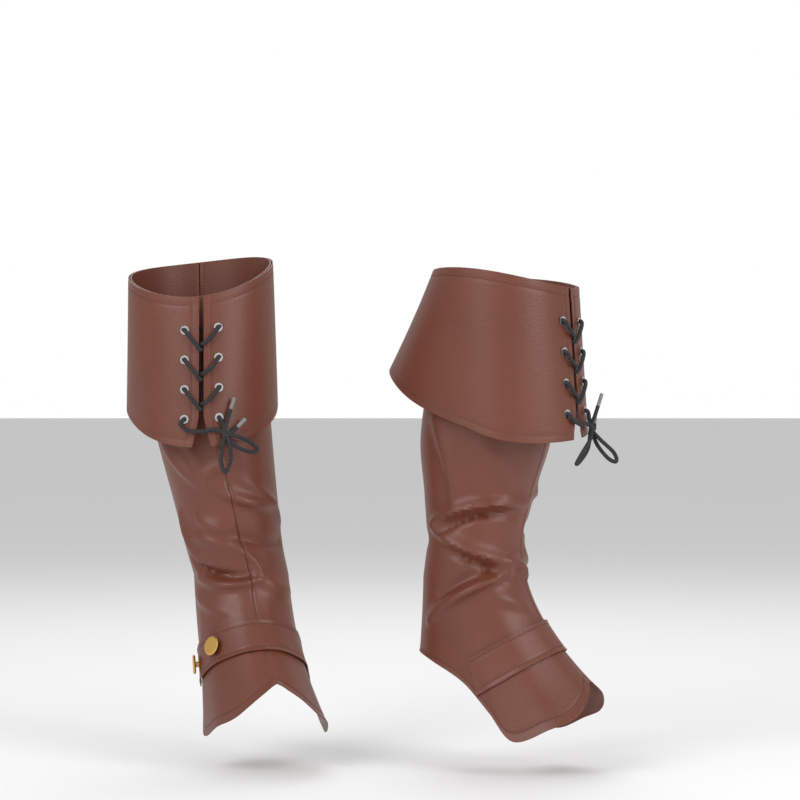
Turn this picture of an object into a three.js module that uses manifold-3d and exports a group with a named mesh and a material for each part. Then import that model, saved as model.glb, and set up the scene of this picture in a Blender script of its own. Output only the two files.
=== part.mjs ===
// A pair of costume boot covers in soft faux leather, worn: each is a shaft of two panels with an
// instep flap, a flared cuff laced at its front slit, and an ankle strap held by two shank buttons.
// Millimetres, +Z up. The wearer faces -Y. The origin is the middle of the right cover's top opening.
import * as THREE from "three";
import { mergeVertices } from "three/addons/utils/BufferGeometryUtils.js";
import Module from "manifold-3d";

const wasm = await Module();
wasm.setup();

// Cloth
const WALL = 1.4;
const SEAM_GAP = 0.3;
const LAYER_GAP = 0.9; // room that a faceted wall needs over the wall beneath it
const ANKLE_Z = -300; // below this level the shaft widens into the instep flap
const FOLD_GIRTH = 52; // radius at which the folds' angles turn into lengths

// Strap: its edges lie in planes that slope down towards the heel.
const STRAP_WIDTH = 36;
const STRAP_SLOPE = 0.6;
const STRAP_TOP_Z = -385; // height of the top edge's plane at the leg's axis
const STRAP_ANGLES = [3, 20, 40, 56, 72, 88];

// Buttons
const BUTTON_RADIUS = 10;
const BUTTON_THICK = 3;
const SHANK_RADIUS = 3;
const SHANK_HEIGHT = 3;
const BUTTON_ANGLES = [46, 79];

// Slit, eyelets and lace
const SLIT_GAP = 5;
const SLIT_SPREAD = 7; // how far each lower corner of the slit swings out
const EYELET_ROWS = 4;
const EYELET_FIRST = 34;
const EYELET_PITCH = 30;
const EYELET_ASIDE = 17.5;
const EYELET_HOLE = 2.5;
const EYELET_BARREL = 3.1;
const EYELET_FLANGE = 4.7;
const HOLE_RADIUS = 3.7; // punched in the cuff for an eyelet
const EYELET_METAL = 0.6;
const EYELET_SEAT = 1.15; // from the cuff's faces to the flange and the rolled back
const LACE_RADIUS = 2;
const LACE_LIFT = 4.6; // centre of the lace over the cuff's outer face where it lies on an eyelet
const AGLET_RADIUS = 1.9;
const AGLET_LENGTH = 12;

// Each section: height, leg axis (x, y), turn of its front in degrees from -Y towards +X, and the
// half sizes towards the front, heel, inner and outer side. Ring heights are given at the front,
// inner side, back and outer side. A fold runs from one angle and height to another.
const COVERS = [
  {
    name: "right",
    innerSide: 1,
    place: [0, 0, 0],
    slitTurn: 5,
    rim: { front: -16, inner: 22, back: 25, outer: 5 },
    cuffHem: { front: -168, inner: -124, back: -88, outer: -130 },
    cuffReach: { front: 78, inner: 79, back: 122, outer: 72 },
    sections: [
      { z: 25, x: 0, y: 0, turn: 5, front: 72, back: 73, inner: 73, outer: 73 },
      { z: -42, x: 1, y: 2, turn: 5, front: 64, back: 71, inner: 69, outer: 69 },
      { z: -100, x: 4, y: 4, turn: 6, front: 60, back: 69, inner: 66, outer: 64 },
      { z: -170, x: 16, y: 3, turn: 8, front: 61, back: 65, inner: 59, outer: 58 },
      { z: -225, x: 26, y: 2, turn: 11, front: 54, back: 58, inner: 54, outer: 53 },
      { z: -270, x: 35, y: 0, turn: 14, front: 50, back: 53, inner: 50, outer: 50 },
      { z: -300, x: 42, y: -1, turn: 15, front: 52, back: 51, inner: 49, outer: 48 },
    ],
    hemShift: { x: 12, y: -2 },
    folds: [
      { fromAngle: -68, fromZ: -157, toAngle: -28, toZ: -209, sag: 4, width: 9, height: 5 },
      { fromAngle: -30, fromZ: -170, toAngle: -18, toZ: -206, sag: 3, width: 10, height: 3 },
      { fromAngle: -14, fromZ: -212, toAngle: 52, toZ: -228, sag: 5, width: 8, height: 5.5 },
      { fromAngle: -22, fromZ: -201, toAngle: 12, toZ: -186, sag: -4, width: 8, height: 3 },
      { fromAngle: -76, fromZ: -236, toAngle: -64, toZ: -285, sag: 3, width: 8, height: 4 },
      { fromAngle: -45, fromZ: -243, toAngle: -8, toZ: -252, sag: 3, width: 9, height: 3.5 },
      { fromAngle: -12, fromZ: -256, toAngle: 62, toZ: -268, sag: 4, width: 8, height: -4.5 },
      { fromAngle: -12, fromZ: -269, toAngle: 14, toZ: -294, sag: -3, width: 8, height: 4 },
      { fromAngle: -80, fromZ: -285, toAngle: -2, toZ: -298, sag: 6, width: 6, height: -5.5 },
      { fromAngle: -72, fromZ: -303, toAngle: 8, toZ: -304, sag: 5, width: 7, height: 4.5 },
      { fromAngle: 8, fromZ: -300, toAngle: 60, toZ: -318, sag: 3, width: 13, height: 4.5 },
      { fromAngle: 110, fromZ: -190, toAngle: 170, toZ: -215, sag: 6, width: 10, height: 4.5 },
      { fromAngle: 100, fromZ: -250, toAngle: 185, toZ: -262, sag: 8, width: 9, height: -4.5 },
      { fromAngle: 105, fromZ: -275, toAngle: 190, toZ: -290, sag: -6, width: 9, height: 4.5 },
      { fromAngle: 95, fromZ: -310, toAngle: 180, toZ: -325, sag: 6, width: 10, height: 3.5 },
    ],
  },
  {
    name: "left",
    innerSide: -1,
    place: [315, -65, 1],
    slitTurn: 57,
    rim: { front: -10, inner: 8, back: 6, outer: 2 },
    cuffHem: { front: -160, inner: -148, back: -84, outer: -130 },
    cuffReach: { front: 78, inner: 80, back: 130, outer: 78 },
    sections: [
      { z: 10, x: 0, y: 0, turn: 57, front: 74, back: 74, inner: 73, outer: 73 },
      { z: -36, x: -3, y: 2, turn: 58, front: 64, back: 70, inner: 69, outer: 69 },
      { z: -100, x: -12, y: 4, turn: 60, front: 60, back: 70, inner: 66, outer: 66 },
      { z: -162, x: -22, y: 6, turn: 62, front: 66, back: 68, inner: 60, outer: 60 },
      { z: -215, x: -28, y: 8, turn: 64, front: 55, back: 57, inner: 54, outer: 54 },
      { z: -265, x: -32, y: 8, turn: 66, front: 48, back: 50, inner: 50, outer: 50 },
      { z: -300, x: -33, y: 8, turn: 68, front: 52, back: 53, inner: 49, outer: 49 },
    ],
    hemShift: { x: 0, y: 0 },
    folds: [
      { fromAngle: 120, fromZ: -140, toAngle: 95, toZ: -222, sag: 5, width: 10, height: 3.5 },
      { fromAngle: 124, fromZ: -245, toAngle: 6, toZ: -226, sag: 9, width: 7, height: 6 },
      { fromAngle: 112, fromZ: -254, toAngle: 20, toZ: -237, sag: 8, width: 6, height: -4.5 },
      { fromAngle: 124, fromZ: -249, toAngle: 30, toZ: -284, sag: -4, width: 8, height: 6 },
      { fromAngle: 96, fromZ: -274, toAngle: 40, toZ: -300, sag: 3, width: 7, height: -4 },
      { fromAngle: 28, fromZ: -282, toAngle: -4, toZ: -299, sag: 2, width: 8, height: 6.5 },
      { fromAngle: 30, fromZ: -293, toAngle: 130, toZ: -342, sag: -5, width: 9, height: 6 },
      { fromAngle: 40, fromZ: -288, toAngle: 112, toZ: -318, sag: -4, width: 8, height: -3.5 },
      { fromAngle: 55, fromZ: -318, toAngle: 15, toZ: -330, sag: 2, width: 10, height: 3.5 },
      { fromAngle: -20, fromZ: -215, toAngle: -95, toZ: -240, sag: 5, width: 9, height: 5 },
      { fromAngle: -15, fromZ: -252, toAngle: -110, toZ: -262, sag: 6, width: 8, height: -4.5 },
      { fromAngle: -15, fromZ: -276, toAngle: -100, toZ: -300, sag: -5, width: 9, height: 4.5 },
      { fromAngle: -100, fromZ: -200, toAngle: -165, toZ: -232, sag: 6, width: 10, height: 4 },
      { fromAngle: -110, fromZ: -290, toAngle: -175, toZ: -310, sag: 6, width: 10, height: 4 },
      { fromAngle: 150, fromZ: -262, toAngle: 215, toZ: -275, sag: 4, width: 9, height: -4 },
    ],
  },
];

// The bottom hem, for both legs: angle round the leg from the front, distance ahead of the leg's
// axis, distance to either side of it, and height.
const HEM = [
  { at: 0, ahead: 120, aside: 0, z: -399 },
  { at: 15, ahead: 127, aside: 23, z: -415 },
  { at: 30, ahead: 120, aside: 42, z: -432 },
  { at: 50, ahead: 98, aside: 56, z: -443 },
  { at: 66, ahead: 62, aside: 62, z: -456 },
  { at: 80, ahead: 36, aside: 57, z: -430 },
  { at: 98, ahead: 8, aside: 53, z: -402 },
  { at: 125, ahead: -28, aside: 43, z: -383 },
  { at: 155, ahead: -51, aside: 22, z: -375 },
  { at: 180, ahead: -57, aside: 0, z: -373 },
];

const radians = THREE.MathUtils.degToRad;
const clamp = THREE.MathUtils.clamp;

// One column of a table, read smoothly at a value of its key column.
function readColumn(rows, key, at, column) {
  const rising = rows[1][key] > rows[0][key] ? 1 : -1;
  let i = 0;
  while (i < rows.length - 2 && (at - rows[i + 1][key]) * rising > 0) i += 1;
  const a = rows[i];
  const b = rows[i + 1];
  const before = rows[Math.max(i - 1, 0)];
  const after = rows[Math.min(i + 2, rows.length - 1)];
  const step = b[key] - a[key];
  const t = clamp((at - a[key]) / step, 0, 1);
  const slopeA = ((b[column] - before[column]) / (b[key] - before[key])) * step;
  const slopeB = ((after[column] - a[column]) / (after[key] - a[key])) * step;
  const t2 = t * t;
  const t3 = t2 * t;
  return (
    (2 * t3 - 3 * t2 + 1) * a[column] +
    (t3 - 2 * t2 + t) * slopeA +
    (3 * t2 - 2 * t3) * b[column] +
    (t3 - t2) * slopeB
  );
}

// A value that is known at the front, inner side, back and outer side, at any angle between.
function roundLeg(sides, angle) {
  const mean = (sides.front + sides.inner + sides.back + sides.outer) / 4;
  const twice = (sides.front + sides.back - sides.inner - sides.outer) / 4;
  return (
    mean +
    ((sides.front - sides.back) / 2) * Math.cos(angle) +
    ((sides.inner - sides.outer) / 2) * Math.sin(angle) +
    twice * Math.cos(2 * angle)
  );
}

// A point from its distances ahead of and to the inner side of a leg axis that is turned.
function fromAxis(cover, x, y, turn, ahead, inward, z) {
  const t = radians(turn);
  const side = inward * cover.innerSide;
  return new THREE.Vector3(
    x + ahead * Math.sin(t) + side * Math.cos(t),
    y - ahead * Math.cos(t) + side * Math.sin(t),
    z,
  );
}

function ringPoint(cover, sizes, x, y, turn, angle, z) {
  const ahead = Math.cos(angle) * (Math.cos(angle) > 0 ? sizes.front : sizes.back);
  const inward = Math.sin(angle) * (Math.sin(angle) > 0 ? sizes.inner : sizes.outer);
  return fromAxis(cover, x, y, turn, ahead, inward, z);
}

function legPoint(cover, angle, z) {
  const at = (column) => readColumn(cover.sections, "z", z, column);
  const sizes = { front: at("front"), back: at("back"), inner: at("inner"), outer: at("outer") };
  return ringPoint(cover, sizes, at("x"), at("y"), at("turn"), angle, z);
}

function hemPoint(cover, angle) {
  const ankle = cover.sections[cover.sections.length - 1];
  const turned = THREE.MathUtils.euclideanModulo(THREE.MathUtils.radToDeg(angle) + 180, 360) - 180;
  const at = (column) => readColumn(HEM, "at", Math.abs(turned), column);
  const x = ankle.x + cover.hemShift.x;
  const y = ankle.y + cover.hemShift.y;
  return fromAxis(cover, x, y, ankle.turn, at("ahead"), at("aside") * Math.sign(turned), at("z"));
}

// The shaft without its folds: level runs from 0 at the rim to 1 at the ankle and 2 at the hem.
function smoothShaft(cover, angle, level) {
  const ankle = legPoint(cover, angle, ANKLE_Z);
  if (level <= 1) {
    const rim = roundLeg(cover.rim, angle);
    return legPoint(cover, angle, THREE.MathUtils.lerp(rim, ANKLE_Z, level));
  }
  const hem = hemPoint(cover, angle);
  const bend = ankle.clone().lerp(hem, 0.17);
  bend.z = THREE.MathUtils.lerp(ankle.z, hem.z, 0.46);
  return new THREE.QuadraticBezierCurve3(ankle, bend, hem).getPoint(level - 1);
}

// Height of the folds over the smooth shaft.
function foldHeight(cover, angle, z) {
  let sum = 0;
  for (const fold of cover.folds) {
    const from = new THREE.Vector2(radians(fold.fromAngle) * FOLD_GIRTH, fold.fromZ);
    const to = new THREE.Vector2(radians(fold.toAngle) * FOLD_GIRTH, fold.toZ);
    const along = to.clone().sub(from);
    const length = along.length();
    along.normalize();
    const middle = (radians(fold.fromAngle + fold.toAngle) / 2);
    const wrapped = middle + THREE.MathUtils.euclideanModulo(angle - middle + Math.PI, 2 * Math.PI) - Math.PI;
    const here = new THREE.Vector2(wrapped * FOLD_GIRTH, z).sub(from);
    const run = here.dot(along) / length;
    const sag = fold.sag * 4 * clamp(run, 0, 1) * (1 - clamp(run, 0, 1));
    const off = (here.cross(along) - sag) / fold.width;
    const past = (Math.max(0, -run, run - 1) * length) / fold.width;
    const taper = Math.sin(Math.PI * clamp(0.15 + 0.7 * run, 0.02, 0.98));
    sum += fold.height * taper * Math.exp(-off * off - past * past);
  }
  return sum;
}

function normalAt(surface, angle, level) {
  const step = 0.01;
  const round = surface(angle + step, level).sub(surface(angle - step, level));
  const down = surface(angle, level + step).sub(surface(angle, level - step));
  return round.cross(down).normalize();
}

// The shaft with its folds, moved out along its normal by lift.
function shaftPoint(cover, angle, level, lift = 0) {
  const smooth = (a, l) => smoothShaft(cover, a, l);
  const folded = (a, l) => {
    const p = smooth(a, l);
    const n = normalAt(smooth, a, l).multiplyScalar(cover.innerSide);
    return p.addScaledVector(n, -foldHeight(cover, a, p.z));
  };
  const out = normalAt(folded, angle, level).multiplyScalar(-cover.innerSide);
  return folded(angle, level).addScaledVector(out, lift);
}

// The cuff's outer face: down runs from 0 at the rim to 1 at its hem, aside is the angle from the slit.
function cuffPoint(cover, angle, down, lift = 0) {
  const turnBack = radians(cover.slitTurn - cover.sections[0].turn) * cover.innerSide;
  const rimZ = roundLeg(cover.rim, angle);
  const rim = legPoint(cover, angle + turnBack, rimZ);
  const hemZ = roundLeg(cover.cuffHem, angle);
  const hem = ringPoint(cover, cover.cuffReach, 0, 0, cover.slitTurn, angle, hemZ);
  const away = new THREE.Vector3(hem.x, hem.y, 0).normalize();
  const standing = LAYER_GAP + WALL + lift;
  return rim.lerp(hem, down).addScaledVector(away, standing);
}

// A closed wall: its outer face is surface(u, v) on a grid, its inner face the same moved in.
function wall(surface, columns, rows, thick, flipped) {
  const corners = [];
  const faces = [];
  const width = rows + 1;
  const layer = (columns + 1) * width;
  for (const depth of [0, -thick]) {
    for (let i = 0; i <= columns; i += 1) {
      for (let j = 0; j <= rows; j += 1) corners.push(...surface(i / columns, j / rows, depth).toArray());
    }
  }
  const quad = (a, b, c, d) => faces.push(a, b, c, a, c, d);
  const at = (i, j) => i * width + j;
  for (let i = 0; i < columns; i += 1) {
    for (let j = 0; j < rows; j += 1) {
      quad(at(i, j), at(i, j + 1), at(i + 1, j + 1), at(i + 1, j));
      quad(layer + at(i, j), layer + at(i + 1, j), layer + at(i + 1, j + 1), layer + at(i, j + 1));
    }
    quad(at(i, 0), at(i + 1, 0), layer + at(i + 1, 0), layer + at(i, 0));
    quad(at(i + 1, rows), at(i, rows), layer + at(i, rows), layer + at(i + 1, rows));
  }
  for (let j = 0; j < rows; j += 1) {
    quad(at(0, j + 1), at(0, j), layer + at(0, j), layer + at(0, j + 1));
    quad(at(columns, j), at(columns, j + 1), layer + at(columns, j + 1), layer + at(columns, j));
  }
  if (flipped) faces.reverse();
  return new THREE.BufferGeometry()
    .setAttribute("position", new THREE.Float32BufferAttribute(corners, 3))
    .setIndex(faces);
}

function solidOf(geometry) {
  const bare = geometry.clone();
  bare.deleteAttribute("normal");
  bare.deleteAttribute("uv");
  const merged = mergeVertices(bare, 1e-4);
  return new wasm.Manifold(
    new wasm.Mesh({
      numProp: 3,
      vertProperties: new Float32Array(merged.attributes.position.array),
      triVerts: new Uint32Array(merged.index.array),
    }),
  );
}

function geometryOf(solid) {
  const mesh = solid.getMesh();
  return new THREE.BufferGeometry()
    .setAttribute("position", new THREE.BufferAttribute(new Float32Array(mesh.vertProperties), 3))
    .setIndex(new THREE.BufferAttribute(new Uint32Array(mesh.triVerts), 1));
}

// A turned piece standing on a point of the cloth with its axis along the outward direction.
function stand(geometry, point, out) {
  const upright = new THREE.Quaternion().setFromUnitVectors(new THREE.Vector3(0, 1, 0), out);
  return geometry.applyQuaternion(upright).translate(point.x, point.y, point.z);
}

function turned(profile, segments) {
  const points = profile.map(([radius, height]) => new THREE.Vector2(radius, height));
  return new THREE.LatheGeometry(points, segments);
}

function tube(points, radius, steps) {
  const section = new THREE.Shape().absarc(0, 0, radius, 0, 2 * Math.PI);
  const extrudePath = new THREE.CatmullRomCurve3(points, false, "centripetal");
  const options = { steps, extrudePath, curveSegments: 4, bevelEnabled: false };
  return new THREE.ExtrudeGeometry(section, options);
}

const finishes = {
  leather: { color: 0x7d4432, roughness: 0.42, metalness: 0 },
  nickel: { color: 0xb9b9bc, roughness: 0.3, metalness: 1 },
  gold: { color: 0xc79a3c, roughness: 0.35, metalness: 1 },
  lace: { color: 0x28292c, roughness: 0.9, metalness: 0 },
  aglet: { color: 0x9a9a98, roughness: 0.3, metalness: 0 },
};

function addPiece(group, name, finish, geometry) {
  const mesh = new THREE.Mesh(geometry, new THREE.MeshStandardMaterial(finishes[finish]));
  mesh.name = name;
  group.add(mesh);
}

// Two shaft panels, each half way round, 0.3 mm apart at the front and back seams.
function addShaft(group, cover) {
  const halfGap = SEAM_GAP / 2 / FOLD_GIRTH;
  for (const [half, side] of [["inner", 1], ["outer", -1]]) {
    const panel = (u, v, depth) => {
      const angle = side * THREE.MathUtils.lerp(halfGap, Math.PI - halfGap, u);
      const level = v < 0.2 ? v * 2.5 : 0.5 + (v - 0.2) * 1.875;
      return shaftPoint(cover, angle, level, depth);
    };
    const flipped = side * cover.innerSide < 0;
    addPiece(group, `${cover.name}_shaft_${half}`, "leather", wall(panel, 14, 28, WALL, flipped));
  }
}

// Where a piece of the lacing lies: distance aside of the slit, down from the rim, off the cuff.
function onCuff(cover, aside, down, lift) {
  const height = cover.rim.front - cover.cuffHem.front;
  return cuffPoint(cover, aside / cover.cuffReach.front, down / height, lift);
}

function cuffNormal(cover, aside, down) {
  return onCuff(cover, aside, down, 10).sub(onCuff(cover, aside, down, 0)).normalize();
}

function eyeletPlaces() {
  const places = [];
  for (const side of [1, -1]) {
    for (let row = 0; row < EYELET_ROWS; row += 1) {
      places.push({ side, row, aside: side * EYELET_ASIDE, down: EYELET_FIRST + row * EYELET_PITCH });
    }
  }
  return places;
}

// The cuff: one flared band, open at its front slit, with a hole for each eyelet.
function addCuff(group, cover) {
  const band = (u, v, depth) => {
    const spread = v > 0.8 ? ((v - 0.8) / 0.2) * SLIT_SPREAD : 0;
    const edge = (SLIT_GAP / 2 + spread) / cover.cuffReach.front;
    return cuffPoint(cover, THREE.MathUtils.lerp(edge, 2 * Math.PI - edge, u), v, depth);
  };
  let cuff = solidOf(wall(band, 28, 4, WALL, cover.innerSide < 0));
  for (const { aside, down } of eyeletPlaces()) {
    const drill = new THREE.CylinderGeometry(HOLE_RADIUS, HOLE_RADIUS, 12, 10);
    stand(drill, onCuff(cover, aside, down, -WALL / 2), cuffNormal(cover, aside, down));
    cuff = cuff.subtract(solidOf(drill));
  }
  addPiece(group, `${cover.name}_cuff`, "leather", geometryOf(cuff));
}

// Eyelets: a barrel through the cuff with a flange outside and a rolled back inside.
function addEyelets(group, cover) {
  const reach = WALL / 2 + EYELET_SEAT;
  const profile = [
    [EYELET_HOLE, -reach - EYELET_METAL],
    [EYELET_FLANGE, -reach - EYELET_METAL],
    [EYELET_FLANGE, -reach],
    [EYELET_BARREL, -reach],
    [EYELET_BARREL, reach],
    [EYELET_FLANGE, reach],
    [EYELET_FLANGE, reach + EYELET_METAL],
    [EYELET_HOLE, reach + EYELET_METAL],
    [EYELET_HOLE, -reach - EYELET_METAL],
  ];
  for (const { side, row, aside, down } of eyeletPlaces()) {
    const middle = onCuff(cover, aside, down, -WALL / 2);
    const ring = stand(turned(profile, 8), middle, cuffNormal(cover, aside, down));
    const half = side > 0 ? "inner" : "outer";
    addPiece(group, `${cover.name}_eyelet_${half}_${row + 1}`, "nickel", ring);
  }
}

// The level on the shaft where a strap edge's plane meets it.
function strapLevel(cover, angle, topDrop) {
  let low = 1;
  let high = 1.98;
  const ankle = cover.sections[cover.sections.length - 1];
  const turn = radians(ankle.turn);
  for (let i = 0; i < 24; i += 1) {
    const level = (low + high) / 2;
    const p = smoothShaft(cover, angle, level);
    const ahead = (p.x - ankle.x) * Math.sin(turn) - (p.y - ankle.y) * Math.cos(turn);
    const plane = STRAP_TOP_Z - topDrop + STRAP_SLOPE * ahead;
    if (p.z > plane) low = level;
    else high = level;
  }
  return low;
}

const STRAP_LIFT = LAYER_GAP + WALL;

// The strap: from the slanted hem of one side over the instep to that of the other.
function strapPoint(cover, angle, across, lift) {
  const top = strapLevel(cover, angle, 0);
  const drop = STRAP_WIDTH * Math.hypot(1, STRAP_SLOPE);
  const bottom = strapLevel(cover, angle, drop);
  return shaftPoint(cover, angle, THREE.MathUtils.lerp(top, bottom, across), STRAP_LIFT + lift);
}

function addStrap(group, cover) {
  const end = radians(STRAP_ANGLES[STRAP_ANGLES.length - 1]);
  const band = (u, v, depth) => strapPoint(cover, THREE.MathUtils.lerp(-end, end, u), v, depth);
  addPiece(group, `${cover.name}_strap`, "leather", wall(band, 14, 3, WALL, cover.innerSide < 0));
}

// Flat shank buttons on the outer end of the strap.
function addButtons(group, cover) {
  const profile = [
    [0, 0],
    [SHANK_RADIUS, 0],
    [SHANK_RADIUS, SHANK_HEIGHT],
    [BUTTON_RADIUS - 1, SHANK_HEIGHT],
    [BUTTON_RADIUS, SHANK_HEIGHT + BUTTON_THICK / 2],
    [BUTTON_RADIUS - 1, SHANK_HEIGHT + BUTTON_THICK - 0.4],
    [0, SHANK_HEIGHT + BUTTON_THICK],
  ];
  BUTTON_ANGLES.forEach((degrees, i) => {
    const seat = strapPoint(cover, -radians(degrees), 0.5, 0.5);
    const out = strapPoint(cover, -radians(degrees), 0.5, 5).sub(seat).normalize();
    addPiece(group, `${cover.name}_button_${i + 1}`, "gold", stand(turned(profile, 14), seat, out));
  });
}

// The bow, by hand: distance aside of the slit towards the inner side, down from the rim, off the cuff.
const BOWS = {
  right: {
    knot: { aside: 21, down: 141, lift: 6 },
    runs: [
      [[-17.5, 124, 4.6], [-21, 129, 4.6], [-14, 135, 4.6], [0, 136, 4.6], [12, 135, 4.5], [21, 141, 6]],
      [[17.5, 124, 4.6], [20.5, 133, 4.6], [21, 141, 6]],
      [[21, 141, 6], [19, 152, 8], [17.5, 168, 8], [21, 179, 8], [25.5, 168, 9], [25, 152, 9], [21, 141, 6]],
      [[21, 141, 6], [33, 146, 9], [46, 157, 11], [51, 165, 11], [45, 165, 10], [32, 156, 8], [21, 141, 6]],
    ],
    ends: [
      [[21, 141, 6], [24, 128, 6], [27.5, 118, 6]],
      [[21, 141, 6], [28, 141, 7], [33, 137, 7]],
    ],
  },
  left: {
    knot: { aside: -19, down: 141, lift: 6 },
    runs: [
      [[17.5, 124, 4.6], [12, 131, 4.6], [0, 136, 4.6], [-10, 136, 4.5], [-19, 141, 6]],
      [[-17.5, 124, 4.6], [-20, 133, 4.6], [-19, 141, 6]],
      [[-19, 141, 6], [-18, 152, 14], [-18, 166, 28], [-18, 175, 30], [-18, 172, 22], [-19, 158, 11], [-19, 141, 6]],
      [[-19, 141, 6], [-8, 151, 9], [8, 162, 10], [16, 172, 9], [8, 170, 7], [-8, 160, 6], [-19, 141, 6]],
    ],
    ends: [
      [[-19, 141, 6], [-21, 130, 10], [-22, 119, 14]],
      [[-19, 141, 6], [-27, 144, 7], [-32, 140, 7]],
    ],
  },
};

function addLace(group, cover) {
  const bow = BOWS[cover.name];
  const spot = ([aside, down, lift]) => onCuff(cover, aside, down, lift);
  const runs = bow.runs.map((run) => ({ points: run, steps: run.length + 3 }));
  const inside = -WALL - 4.3;
  const holes = eyeletPlaces();
  holes.forEach(({ side, row, aside, down }) => {
    runs.push({ points: [[aside, down, inside], [aside, down, LACE_LIFT]], steps: 1 });
    if (row === EYELET_ROWS - 1) return;
    const cross = down + (side > 0 ? 15 : 20);
    runs.push({ points: [[aside, down, LACE_LIFT], [aside / 2, down + 10, LACE_LIFT], [0, cross, LACE_LIFT]], steps: 3 });
    runs.push({ points: [[0, cross, LACE_LIFT], [0, cross, inside]], steps: 1 });
    runs.push({ points: [[0, cross, inside], [-aside, down + EYELET_PITCH, inside]], steps: 2 });
  });
  runs.push({ points: [[EYELET_ASIDE, EYELET_FIRST, inside], [-EYELET_ASIDE, EYELET_FIRST, inside]], steps: 2 });
  bow.ends.forEach((end) => runs.push({ points: end, steps: 5 }));
  const { aside, down, lift } = bow.knot;
  const knot = new THREE.SphereGeometry(5, 10, 8).scale(1.1, 1, 0.8);
  const middle = onCuff(cover, aside, down, lift);
  let lace = solidOf(knot.translate(middle.x, middle.y, middle.z));
  for (const { points, steps } of runs) {
    lace = lace.add(solidOf(tube(points.map(spot), LACE_RADIUS, steps)));
  }
  addPiece(group, `${cover.name}_lace`, "lace", geometryOf(lace));
  bow.ends.forEach((end, i) => {
    const tip = spot(end[end.length - 1]);
    const along = tip.clone().sub(spot(end[end.length - 2])).normalize();
    const aglet = new THREE.CylinderGeometry(AGLET_RADIUS, AGLET_RADIUS, AGLET_LENGTH, 8);
    aglet.translate(0, AGLET_LENGTH / 2 + SEAM_GAP, 0);
    addPiece(group, `${cover.name}_aglet_${i + 1}`, "aglet", stand(aglet, tip, along));
  });
}

const pair = new THREE.Group();
for (const cover of COVERS) {
  const group = new THREE.Group();
  group.position.set(...cover.place);
  addShaft(group, cover);
  addCuff(group, cover);
  addEyelets(group, cover);
  addStrap(group, cover);
  addButtons(group, cover);
  addLace(group, cover);
  pair.add(group);
}

export default pair;
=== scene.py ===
# A pair of costume boot covers in brown faux leather, worn: hollow shafts with laced, turned-down
# cuffs and buttoned ankle straps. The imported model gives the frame, and all lengths are metres.
from math import cos, exp, hypot, pi, radians, sin, tau

import bpy
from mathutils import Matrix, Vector


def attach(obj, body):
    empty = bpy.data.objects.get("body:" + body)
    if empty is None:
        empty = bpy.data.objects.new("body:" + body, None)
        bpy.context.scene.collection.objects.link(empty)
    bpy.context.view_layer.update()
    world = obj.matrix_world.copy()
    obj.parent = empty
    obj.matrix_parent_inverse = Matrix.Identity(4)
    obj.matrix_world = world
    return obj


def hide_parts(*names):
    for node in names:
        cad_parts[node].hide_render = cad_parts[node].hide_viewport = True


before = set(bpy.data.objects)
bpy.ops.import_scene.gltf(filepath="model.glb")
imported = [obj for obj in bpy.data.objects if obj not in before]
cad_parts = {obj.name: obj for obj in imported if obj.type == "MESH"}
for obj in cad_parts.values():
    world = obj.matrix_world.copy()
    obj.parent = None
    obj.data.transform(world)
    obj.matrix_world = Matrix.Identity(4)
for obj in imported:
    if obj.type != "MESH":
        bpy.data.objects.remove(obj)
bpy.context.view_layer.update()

MM = 0.001
bpy.ops.object.select_all(action="DESELECT")


# The camera stands level, 2.7 m in front of the pair and 0.37 m above the floor.
bpy.ops.object.camera_add(location=(0.206, -2.68, -0.1206), rotation=(pi / 2, 0, 0))
camera = bpy.context.object
camera.data.sensor_width = 36
camera.data.lens = 117
bpy.context.scene.camera = camera

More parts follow.
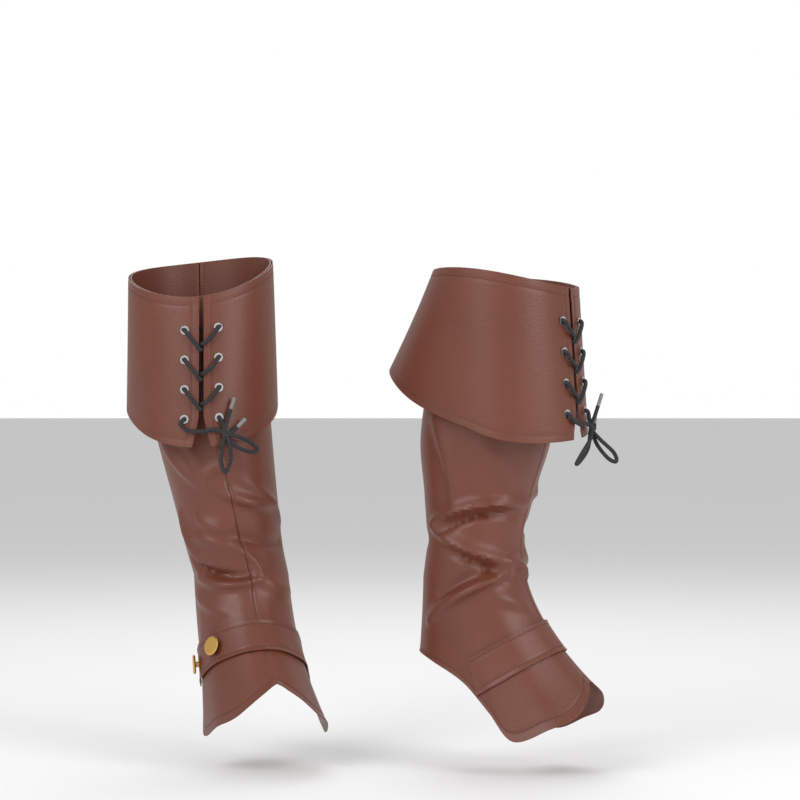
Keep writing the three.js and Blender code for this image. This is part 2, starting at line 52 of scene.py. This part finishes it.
# Two cut panels, a cuff, a strap and a lace make each cover. These tables hold the legs they are
# worn on: each section's height, leg axis, turn of the front and half sizes, in millimetres.
COVERS = {
    "right": {
        "inner_side": 1, "place": (0, 0, 0), "slit_turn": 5, "hem_shift": (12, -2),
        "rim": (-16, 22, 25, 5), "cuff_hem": (-168, -124, -88, -130), "reach": (78, 79, 122, 72),
        # z, x, y, turn, front, back, inner, outer
        "sections": [
            (25, 0, 0, 5, 72, 73, 73, 73), (-42, 1, 2, 5, 64, 71, 69, 69),
            (-100, 4, 4, 6, 60, 69, 66, 64), (-170, 16, 3, 8, 61, 65, 59, 58),
            (-225, 26, 2, 11, 54, 58, 54, 53), (-270, 35, 0, 14, 50, 53, 50, 50),
            (-300, 42, -1, 15, 52, 51, 49, 48),
        ],
        # from angle, from height, to angle, to height, sag, width, height
        "folds": [
            (-68, -157, -28, -209, 4, 8, 6), (-30, -170, -18, -206, 3, 7, 4),
            (-14, -212, 52, -228, 5, 7, 7), (-22, -201, 12, -186, -4, 6, 4),
            (-76, -236, -64, -285, 3, 6, 5), (-45, -243, -8, -252, 3, 8, 4.5),
            (-12, -256, 62, -268, 4, 7, -6), (-12, -269, 14, -294, -3, 6, 5),
            (-80, -285, -2, -298, 6, 5, -7), (-72, -303, 8, -304, 5, 6, 6),
            (8, -300, 60, -318, 3, 11, 5), (110, -190, 170, -215, 6, 9, 5),
            (100, -250, 185, -262, 8, 8, -5), (105, -275, 190, -290, -6, 8, 5),
            (95, -310, 180, -325, 6, 9, 4), (20, -206, 74, -246, -4, 6, 3.5),
            (-84, -320, -30, -334, 3, 7, 3), (-60, -262, -20, -272, -3, 6, 4),
        ],
    },
    "left": {
        "inner_side": -1, "place": (315, -65, 1), "slit_turn": 57, "hem_shift": (0, 0),
        "rim": (-10, 8, 6, 2), "cuff_hem": (-160, -148, -84, -130), "reach": (78, 80, 130, 78),
        "sections": [
            (10, 0, 0, 57, 74, 74, 73, 73), (-36, -3, 2, 58, 64, 70, 69, 69),
            (-100, -12, 4, 60, 60, 70, 66, 66), (-162, -22, 6, 62, 66, 68, 60, 60),
            (-215, -28, 8, 64, 55, 57, 54, 54), (-265, -32, 8, 66, 48, 50, 50, 50),
            (-300, -33, 8, 68, 52, 53, 49, 49),
        ],
        "folds": [
            (120, -140, 95, -222, 5, 8, 4.5), (124, -245, 6, -226, 9, 6, 8),
            (112, -254, 20, -237, 8, 5, -6), (124, -249, 30, -284, -4, 7, 8),
            (96, -274, 40, -300, 3, 6, -5), (28, -282, -4, -299, 2, 7, 8),
            (30, -293, 130, -342, -5, 7, 8), (40, -288, 112, -318, -4, 6, -5),
            (55, -318, 15, -330, 2, 9, 4), (-20, -215, -95, -240, 5, 8, 6),
            (-15, -252, -110, -262, 6, 7, -6), (-15, -276, -100, -300, -5, 8, 6),
            (-100, -200, -165, -232, 6, 9, 5), (-110, -290, -175, -310, 6, 9, 5),
            (150, -262, 215, -275, 4, 8, -5), (70, -168, 40, -214, 4, 8, 3),
        ],
    },
}
# The bottom hem: angle from the front, distance ahead of the leg's axis, aside, and height.
HEM = [
    (0, 120, 0, -399), (15, 127, 23, -415), (30, 120, 42, -432), (50, 98, 56, -443),
    (66, 62, 62, -456), (80, 36, 57, -430), (98, 8, 53, -402), (125, -28, 43, -383),
    (155, -51, 22, -375), (180, -57, 0, -373),
]
BETWEEN_LEGS_X = 0.17
ANKLE_Z = -300  # the shaft widens into the flap below this level
GIRTH = 52  # the radius at which the folds' angles turn into lengths
WALL = 1.4
LAYER_GAP = 0.9


def read_row(rows, at):
    """All columns of a table, read smoothly at a value of its first column."""
    rising = 1 if rows[1][0] > rows[0][0] else -1
    i = 0
    while i < len(rows) - 2 and (at - rows[i + 1][0]) * rising > 0:
        i += 1
    a, b = rows[i], rows[i + 1]
    before, after = rows[max(i - 1, 0)], rows[min(i + 2, len(rows) - 1)]
    step = b[0] - a[0]
    t = min(max((at - a[0]) / step, 0), 1)
    start, end = 2 * t**3 - 3 * t**2 + 1, 3 * t**2 - 2 * t**3
    leave = (t**3 - 2 * t**2 + t) * step / (b[0] - before[0])
    arrive = (t**3 - t**2) * step / (after[0] - a[0])
    return [
        start * a[c] + end * b[c] + leave * (b[c] - before[c]) + arrive * (after[c] - a[c])
        for c in range(1, len(a))
    ]


def round_leg(sides, angle):
    front, inner, back, outer = sides
    mean = (front + inner + back + outer) / 4
    twice = (front + back - inner - outer) / 4 * cos(2 * angle)
    return mean + (front - back) / 2 * cos(angle) + (inner - outer) / 2 * sin(angle) + twice


def from_axis(cover, x, y, turn, ahead, inward, z):
    t = radians(turn)
    side = inward * cover["inner_side"]
    return Vector((x + ahead * sin(t) + side * cos(t), y - ahead * cos(t) + side * sin(t), z))


def leg_point(cover, angle, z):
    x, y, turn, front, back, inner, outer = read_row(cover["sections"], z)
    ahead = cos(angle) * (front if cos(angle) > 0 else back)
    inward = sin(angle) * (inner if sin(angle) > 0 else outer)
    return from_axis(cover, x, y, turn, ahead, inward, z)


def smooth_shaft(cover, angle, level):
    ankle = leg_point(cover, angle, ANKLE_Z)
    if level <= 1:
        rim = round_leg(cover["rim"], angle)
        return leg_point(cover, angle, rim + (ANKLE_Z - rim) * level)
    last = cover["sections"][-1]
    turned = (angle * 180 / pi + 180) % 360 - 180
    ahead, aside, z = read_row(HEM, abs(turned))
    shift = cover["hem_shift"]
    side = aside if turned > 0 else -aside
    hem = from_axis(cover, last[1] + shift[0], last[2] + shift[1], last[3], ahead, side, z)
    bend = ankle.lerp(hem, 0.17)
    bend.z = ankle.z + (hem.z - ankle.z) * 0.46
    t = level - 1
    return ankle * (1 - t) ** 2 + bend * 2 * t * (1 - t) + hem * t * t


def fold_height(cover, angle, z):
    total = 0
    for a0, z0, a1, z1, sag, width, height in cover["folds"]:
        dx, dz = radians(a1 - a0) * GIRTH, z1 - z0
        length = hypot(dx, dz)
        middle = radians(a0 + a1) / 2
        wrapped = middle + (angle - middle + pi) % tau - pi
        hx, hz = wrapped * GIRTH - radians(a0) * GIRTH, z - z0
        run = (hx * dx + hz * dz) / length**2
        held = min(max(run, 0), 1)
        off = ((hx * dz - hz * dx) / length - sag * 4 * held * (1 - held)) / width
        if abs(off) > 3:
            continue
        past = max(0, -run, run - 1) * length / width
        taper = sin(pi * min(max(0.15 + 0.7 * run, 0.02), 0.98))
        # one flank of each ridge is steeper, as cloth leans over the trough beneath it
        lean = off * (1.5 if off * dx > 0 else 0.85)
        total += height * taper * exp(-lean * lean - past * past)
    return total


def normal_at(surface, angle, level, side):
    e = 0.006
    around = surface(angle + e, level) - surface(angle - e, level)
    down = surface(angle, level + e) - surface(angle, level - e)
    return around.cross(down).normalized() * -side


def shaft_point(cover, angle, level, lift=0.0):
    side = cover["inner_side"]
    plain = lambda a, l: smooth_shaft(cover, a, l)
    base = plain(angle, level)
    height = fold_height(cover, angle, base.z)
    return base + normal_at(plain, angle, level, side) * (height + lift)


def cuff_point(cover, angle, down, lift=0.0):
    turn_back = radians(cover["slit_turn"] - cover["sections"][0][3]) * cover["inner_side"]
    rim = leg_point(cover, angle + turn_back, round_leg(cover["rim"], angle))
    front, inner, back, outer = cover["reach"]
    ahead = cos(angle) * (front if cos(angle) > 0 else back)
    inward = sin(angle) * (inner if sin(angle) > 0 else outer)
    hem = from_axis(cover, 0, 0, cover["slit_turn"], ahead, inward, round_leg(cover["cuff_hem"], angle))
    away = Vector((hem.x, hem.y, 0)).normalized()
    return rim.lerp(hem, down) + away * (LAYER_GAP + WALL + lift)


def placed(cover, point):
    return (point + Vector(cover["place"])) * MM


# Each lace is one black braided cord, 4 mm across, crossed through the eyelets and tied in a bow.
# Its route lists the distance aside of the slit, down from the rim and off the cuff, in millimetres.
LACE_LIFT = 4.6
INSIDE = -WALL - 4.3
BOWS = {
    "right": {
        "knot": (21, 141, 6),
        -1: [(-17.5, 124, 4.6), (-21, 129, 4.6), (-14, 135, 4.6), (0, 136, 4.6), (12, 135, 4.5), (21, 141, 6)],
        1: [(17.5, 124, 4.6), (20.5, 133, 4.6), (21, 141, 6)],
        "loops": [
            [(19, 152, 8), (17.5, 168, 8), (21, 179, 8), (25.5, 168, 9), (25, 152, 9), (21, 141, 6)],
            [(33, 146, 9), (46, 157, 11), (51, 165, 11), (45, 165, 10), (32, 156, 8), (21, 141, 6)],
        ],
        "ends": [[(24, 128, 6), (27.5, 118, 6)], [(28, 141, 7), (33, 137, 7)]],
    },
    "left": {
        "knot": (-19, 141, 6),
        1: [(17.5, 124, 4.6), (12, 131, 4.6), (0, 136, 4.6), (-10, 136, 4.5), (-19, 141, 6)],
        -1: [(-17.5, 124, 4.6), (-20, 133, 4.6), (-19, 141, 6)],
        "loops": [
            [(-18, 152, 14), (-18, 166, 28), (-18, 175, 30), (-18, 172, 22), (-19, 158, 11), (-19, 141, 6)],
            [(-8, 151, 9), (8, 162, 10), (16, 172, 9), (8, 170, 7), (-8, 160, 6), (-19, 141, 6)],
        ],
        "ends": [[(-21, 130, 10), (-22, 119, 14)], [(-27, 144, 7), (-32, 140, 7)]],
    },
}


def on_cuff(cover, aside, down, lift):
    height = cover["rim"][0] - cover["cuff_hem"][0]
    return placed(cover, cuff_point(cover, aside / cover["reach"][0], down / height, lift))


def strand(side):
    """From the top eyelet of one side, crossing down to the fourth eyelet of the other or same side."""
    points = []
    for row in range(4):
        down = 34 + 30 * row
        points += [(side * 17.5, down, INSIDE), (side * 17.5, down, LACE_LIFT - 1)]
        if row < 3:
            cross = down + (15 if side > 0 else 20)
            points += [(side * 9, down + 10, LACE_LIFT), (side * 2, cross - 1, LACE_LIFT - 1.5)]
            points += [(0, cross, -1), (-side * 3, cross + 1, INSIDE)]
            side = -side
    return points, side


def smooth_line(points, steps):
    line = []
    for i in range(len(points) - 1):
        p = [points[max(i - 1, 0)], points[i], points[i + 1], points[min(i + 2, len(points) - 1)]]
        for s in range(steps):
            t = s / steps
            line.append(0.5 * (2 * p[1] + (p[2] - p[0]) * t + (2 * p[0] - 5 * p[1] + 4 * p[2] - p[3]) * t**2
                               + (3 * p[1] - p[0] - 3 * p[2] + p[3]) * t**3))
    return line + [points[-1]]


laces = {}
for name, cover in COVERS.items():
    bow = BOWS[name]
    first, first_side = strand(1)
    second, second_side = strand(-1)
    route = bow["ends"][0][::-1] + [bow["knot"]] + bow["loops"][0] + bow[first_side][-2:0:-1]
    route += first[::-1] + second + bow[second_side][1:] + bow["loops"][1] + bow["ends"][1]
    line = smooth_line([on_cuff(cover, *p) for p in route], 6)
    curve = bpy.data.curves.new(name + "_lace_cord", "CURVE")
    curve.dimensions = "3D"
    curve.bevel_depth = 0.002
    curve.bevel_resolution = 4
    curve.use_fill_caps = True
    spline = curve.splines.new("POLY")
    spline.points.add(len(line) - 1)
    for point, place in zip(spline.points, line):
        point.co = (*place, 1)
    lace = bpy.data.objects.new(name + "_lace_cord", curve)
    bpy.context.collection.objects.link(lace)
    bpy.context.view_layer.objects.active = lace
    lace.select_set(True)
    bpy.ops.object.convert(target="MESH")
    bpy.ops.object.shade_smooth()
    lace.select_set(False)
    length = sum((b - a).length for a, b in zip(line, line[1:]))
    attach(lace, "root")
    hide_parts(name + "_lace")
    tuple(line[0])
    laces[name] = lace


# The braid of the lace: fine black yarn, dull, with a slightly paler painted highlight on the raised cells
# where the strands cross.
class Socket:
    """A shader value that takes part in Python expressions."""

    def __init__(self, nodes, link):
        self.nodes, self.link = nodes, link

    def maths(self, operation, other=None, swap=False):
        values = [self, other] if other is not None else [self]
        return self.nodes.make("ShaderNodeMath", {"operation": operation}, values[::-1] if swap else values)

    def __add__(self, other): return self.maths("ADD", other)
    def __radd__(self, other): return self.maths("ADD", other)
    def __sub__(self, other): return self.maths("SUBTRACT", other)
    def __rsub__(self, other): return self.maths("SUBTRACT", other, True)
    def __mul__(self, other): return self.maths("MULTIPLY", other)
    def __rmul__(self, other): return self.maths("MULTIPLY", other)


class Finish:
    """A material whose nodes are made one call at a time."""

    def __init__(self, name, colour, roughness, metallic=0.0):
        self.material = bpy.data.materials.new(name)
        self.material.use_nodes = True
        self.tree = self.material.node_tree
        self.shader = self.tree.nodes["Principled BSDF"]
        self.shader.inputs["Base Color"].default_value = (*colour, 1)
        self.shader.inputs["Roughness"].default_value = roughness
        self.shader.inputs["Metallic"].default_value = metallic

    def make(self, kind, settings, values, output=0):
        node = self.tree.nodes.new(kind)
        for key, value in settings.items():
            setattr(node, key, value)
        for key, value in (values.items() if isinstance(values, dict) else enumerate(values)):
            if isinstance(value, Socket):
                self.tree.links.new(value.link, node.inputs[key])
            else:
                node.inputs[key].default_value = value
        return Socket(self, node.outputs[output])

    def feed(self, name, value):
        self.tree.links.new(value.link, self.shader.inputs[name])

    def noise(self, scale, detail=3.0):
        place = self.make("ShaderNodeTexCoord", {}, [], "Object")
        return self.make("ShaderNodeTexNoise", {}, {"Vector": place, "Scale": scale, "Detail": detail})

    def cells(self, scale):
        place = self.make("ShaderNodeTexCoord", {}, [], "Object")
        return self.make("ShaderNodeTexVoronoi", {}, {"Vector": place, "Scale": scale})

    def mix(self, mask, dark, pale):
        settings = {"data_type": "RGBA"}
        return self.make("ShaderNodeMix", settings, {"Factor": mask, 6: (*dark, 1), 7: (*pale, 1)}, 2)

    def raise_by(self, height, distance, strength=1.0):
        values = {"Height": height, "Distance": distance, "Strength": strength}
        self.feed("Normal", self.make("ShaderNodeBump", {}, values))


braid = Finish("black braid", (0.018, 0.018, 0.02), 0.85)
yarn_grain_and_highlight = braid.cells(900.0)
# the braid's colour is painted paler where the cell bump rises: a painted highlight on the raised crossings,
# over the real yarn grain
braid.feed("Base Color", braid.mix(yarn_grain_and_highlight, (0.008, 0.008, 0.01), (0.04, 0.04, 0.045)))
braid.raise_by(yarn_grain_and_highlight, 0.0006)
for lace in laces.values():
    lace.data.materials.append(braid.material)


# The cloth: brown faux leather, about 1 mm of soft coated fabric with a fine pebble grain. Its
# coating has a satin sheen, and its hue wanders a little from place to place.
def leather(name, base, lighter):
    finish = Finish(name, base, 0.4)
    patches = finish.noise(9.0, 4.0)
    grain = finish.cells(620.0)
    finish.feed("Base Color", finish.mix(patches, base, lighter))
    finish.feed("Roughness", 0.31 + 0.16 * patches + 0.06 * grain)
    finish.raise_by(grain + 0.5 * finish.noise(240.0), 0.00022, 0.5)
    return finish.material


BROWN = (0.118, 0.030, 0.015)
BROWN_LIT = (0.168, 0.046, 0.024)
outer_leather = leather("brown faux leather", BROWN, BROWN_LIT)
# stitching thread is a shade deeper than the cloth
thread = leather("brown thread", (0.075, 0.020, 0.011), (0.115, 0.032, 0.018))


def cloth(name, surface, columns, rows, replaced):
    """A sheet of cloth: a grid laid on its form, then given its thickness inwards."""
    bpy.ops.mesh.primitive_grid_add(x_subdivisions=columns, y_subdivisions=rows, size=2)
    piece = bpy.context.object
    piece.name = name
    for vertex in piece.data.vertices:
        u, v = (vertex.co.x + 1) / 2, (vertex.co.y + 1) / 2
        vertex.co = surface(u, v)
    piece.data.update()
    bpy.ops.object.mode_set(mode="EDIT")
    bpy.ops.mesh.select_all(action="SELECT")
    if faces_inwards(piece):
        bpy.ops.mesh.flip_normals()
    bpy.ops.object.mode_set(mode="OBJECT")
    wall = piece.modifiers.new("thickness", "SOLIDIFY")
    wall.thickness = 1.2 * MM
    wall.offset = -1
    bpy.ops.object.modifier_apply(modifier=wall.name)
    bpy.ops.object.shade_smooth_by_angle(angle=radians(50))
    piece.data.materials.append(outer_leather)
    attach(piece, "root")
    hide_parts(*replaced)
    piece.select_set(False)
    return piece


def faces_inwards(piece):
    """Whether the grid's faces look in, towards the leg's axis."""
    face = piece.data.polygons[len(piece.data.polygons) // 2]
    return face.normal.dot(face.center - leg_axis(face.center)) < 0


def leg_axis(point):
    """The middle of the nearer leg at a point's height."""
    cover = COVERS["right"] if point.x < BETWEEN_LEGS_X else COVERS["left"]
    z = max(min(point.z / MM - cover["place"][2], cover["sections"][0][0]), ANKLE_Z)
    x, y = read_row(cover["sections"], z)[:2]
    return Vector(((x + cover["place"][0]) * MM, (y + cover["place"][1]) * MM, point.z))


def stitches(name, line, out, pitch=3.2 * MM, length=2.3 * MM, thick=0.45 * MM):
    """A row of thread stitches: one small rounded bead, copied along a line on the cloth."""
    corners, faces, ride = [], [], 0.0
    for a, b, n in zip(line, line[1:], out):
        span = b - a
        while ride < span.length:
            at = a + span * (ride / span.length) + n * 0.15 * MM
            along = span.normalized() * (length / 2)
            across = along.cross(n).normalized() * thick
            start = len(corners)
            for end in (-1, -0.5, 0.5, 1):
                size = 0.45 if abs(end) == 1 else 1
                for side in (-1, 0, 1):
                    top = n * (thick * size * (1 if side == 0 else 0.1))
                    corners.append(at + along * end + across * side * size + top)
            for i in range(3):
                for j in range(2):
                    c = start + i * 3 + j
                    faces.append((c, c + 3, c + 4, c + 1))
            faces.append((start + 2, start + 11, start + 9, start))
            ride += pitch
        ride -= span.length
    mesh = bpy.data.meshes.new(name)
    mesh.from_pydata(corners, [], faces)
    row = bpy.data.objects.new(name, mesh)
    bpy.context.collection.objects.link(row)
    bpy.context.view_layer.objects.active = row
    row.select_set(True)
    bpy.ops.object.shade_smooth()
    row.select_set(False)
    mesh.materials.append(thread)
    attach(row, "root")
    return row


def sew(name, surface, path, steps):
    """Stitches along a path of (u, v) on a surface that takes a lift in millimetres."""
    at = [path(i / steps) for i in range(steps + 1)]
    line = [surface(u, v, 0) for u, v in at]
    out = [(surface(u, v, 3) - surface(u, v, 0)).normalized() for u, v in at]
    return stitches(name, line, out)


# The shaft: two panels cut in one with the instep flap, seamed down the front and the back. The
# seams pull in a narrow groove, and the bottom edge is turned under and stitched 7 mm in.
def shaft_surface(cover, side):
    def surface(u, v, lift=0.0):
        angle = side * (0.004 + u * (pi - 0.008))
        level = v * 2
        seam = min(u, 1 - u) * pi * GIRTH
        groove = -1.1 * exp(-((seam / 1.6) ** 2)) + 0.35 * exp(-(((seam - 3.2) / 1.6) ** 2))
        edge = (1 - v) * 330
        roll = 0.55 * exp(-((edge / 3.0) ** 2)) - 0.35 * exp(-(((edge - 8) / 1.6) ** 2))
        return placed(cover, shaft_point(cover, angle, level, groove + roll + lift))
    return surface


for name, cover in COVERS.items():
    for half, side in (("inner", 1), ("outer", -1)):
        surface = shaft_surface(cover, side)
        cloth(f"{name}_{half}_panel", surface, 96, 190, [f"{name}_shaft_{half}"])
        sew(f"{name}_{half}_hem_stitches", surface, lambda t: (0.01 + 0.98 * t, 0.974), 120)


# The cuff: one flared band, sewn in at the rim and turned down. It has an 8 mm topstitched band at
# the top, a 7 mm stitched hem, and slit edges turned under and stitched.
def cuff_surface(cover):
    def surface(u, v, lift=0.0):
        spread = max(0, (v - 0.8) / 0.2) * 7
        edge = (2.5 + spread) / cover["reach"][0]
        angle = edge + u * (tau - 2 * edge)
        height, reach = 145.0, cover["reach"][0]
        from_slit = min(u, 1 - u) * tau * reach
        top, bottom = v * height, (1 - v) * height
        line = sum(-0.5 * exp(-(((d - s) / 1.1) ** 2)) for d, s in ((top, 8), (bottom, 7), (from_slit, 7.5)))
        soft = 0.9 * sin(3 * angle + 1) * v + 0.6 * sin(7 * angle) * v * v
        return placed(cover, cuff_point(cover, angle, v, line + soft + lift))
    return surface


for name, cover in COVERS.items():
    surface = cuff_surface(cover)
    cloth(f"{name}_cuff_band", surface, 260, 70, [f"{name}_cuff"])
    sew(f"{name}_cuff_top_stitches", surface, lambda t: (0.015 + 0.97 * t, 8 / 145), 180)
    sew(f"{name}_cuff_hem_stitches", surface, lambda t: (0.015 + 0.97 * t, 1 - 7 / 145), 180)
    sew(f"{name}_slit_stitches_1", surface, lambda t: (0.0155, 0.05 + 0.9 * t), 60)
    sew(f"{name}_slit_stitches_2", surface, lambda t: (0.9845, 0.05 + 0.9 * t), 60)


# The ankle strap: a band 36 mm wide over the instep, both its edges stitched, its ends in the
# slanted hems. It lies just over the shaft.
STRAP_END = radians(88)


def strap_level(cover, angle, drop):
    low, high = 1.0, 1.98
    last = cover["sections"][-1]
    t = radians(last[3])
    for _ in range(18):
        level = (low + high) / 2
        p = smooth_shaft(cover, angle, level)
        ahead = (p.x - last[1]) * sin(t) - (p.y - last[2]) * cos(t)
        if p.z > -385 - drop + 0.6 * ahead:
            low = level
        else:
            high = level
    return low


def strap_surface(cover):
    def surface(u, v, lift=0.0):
        angle = STRAP_END * (2 * u - 1)
        top = strap_level(cover, angle, 0)
        bottom = strap_level(cover, angle, 36 * hypot(1, 0.6))
        edge = min(v, 1 - v) * 36
        rim = 0.4 * exp(-((edge / 2.2) ** 2)) - 0.4 * exp(-(((edge - 4.5) / 1.0) ** 2))
        level = top + (bottom - top) * v
        return placed(cover, shaft_point(cover, angle, level, LAYER_GAP + WALL + rim + lift))
    return surface


for name, cover in COVERS.items():
    surface = strap_surface(cover)
    cloth(f"{name}_strap_band", surface, 110, 30, [f"{name}_strap"])
    sew(f"{name}_strap_top_stitches", surface, lambda t: (0.01 + 0.98 * t, 0.125), 70)
    sew(f"{name}_strap_bottom_stitches", surface, lambda t: (0.01 + 0.98 * t, 0.875), 70)


# Metal and tips: eyelets of plated nickel, flat shank buttons in brushed gold, clear hard aglets.
nickel = Finish("plated nickel", (0.62, 0.61, 0.60), 0.24, 1.0)
nickel.feed("Roughness", 0.2 + 0.15 * nickel.noise(500.0))
gold = Finish("brushed gold", (0.72, 0.44, 0.12), 0.32, 1.0)
gold.feed("Roughness", 0.26 + 0.2 * gold.noise(300.0))
gold.raise_by(gold.noise(900.0), 0.0001, 0.4)
tip = Finish("clear grey tip", (0.22, 0.22, 0.22), 0.2)
tip.feed("Roughness", 0.15 + 0.2 * tip.noise(400.0))
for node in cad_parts:
    made = nickel if "eyelet" in node else gold if "button" in node else tip if "aglet" in node else None
    piece = bpy.data.objects.get(node)
    if made and piece:
        piece.data.materials.clear()
        piece.data.materials.append(made.material)


# The studio: a pale floor under the hems, a white surround for the lens, and soft lamps.
bpy.ops.mesh.primitive_plane_add(size=60, location=(0.2, 20, -0.491))
floor = bpy.context.object
floor.name = "floor"
paper = Finish("white paper", (0.92, 0.92, 0.92), 0.8)
floor.data.materials.append(paper.material)
world = bpy.data.worlds.new("studio")
bpy.context.scene.world = world
world.use_nodes = True
tree = world.node_tree
seen = tree.nodes.new("ShaderNodeLightPath")
bright = tree.nodes.new("ShaderNodeMath")
bright.operation = "MULTIPLY_ADD"
bright.inputs[1].default_value = 0.4
bright.inputs[2].default_value = 0.6
tree.links.new(seen.outputs["Is Camera Ray"], bright.inputs[0])
tree.links.new(bright.outputs[0], tree.nodes["Background"].inputs["Strength"])
tree.nodes["Background"].inputs["Color"].default_value = (1, 1, 1, 1)
LAMPS = (((-1.3, -1.9, 1.3), 1.4, 30), ((1.9, -1.5, 0.9), 1.2, 22), ((0.2, 1.5, 1.6), 1.5, 14))
for place, size, power in LAMPS:
    bpy.ops.object.light_add(type="AREA", location=place)
    lamp = bpy.context.object
    lamp.data.size = size
    lamp.data.energy = power
    lamp.rotation_euler = (Vector((0.2, 0, -0.2)) - Vector(place)).to_track_quat("-Z", "Y").to_euler()
bpy.context.scene.view_settings.view_transform = "Standard"
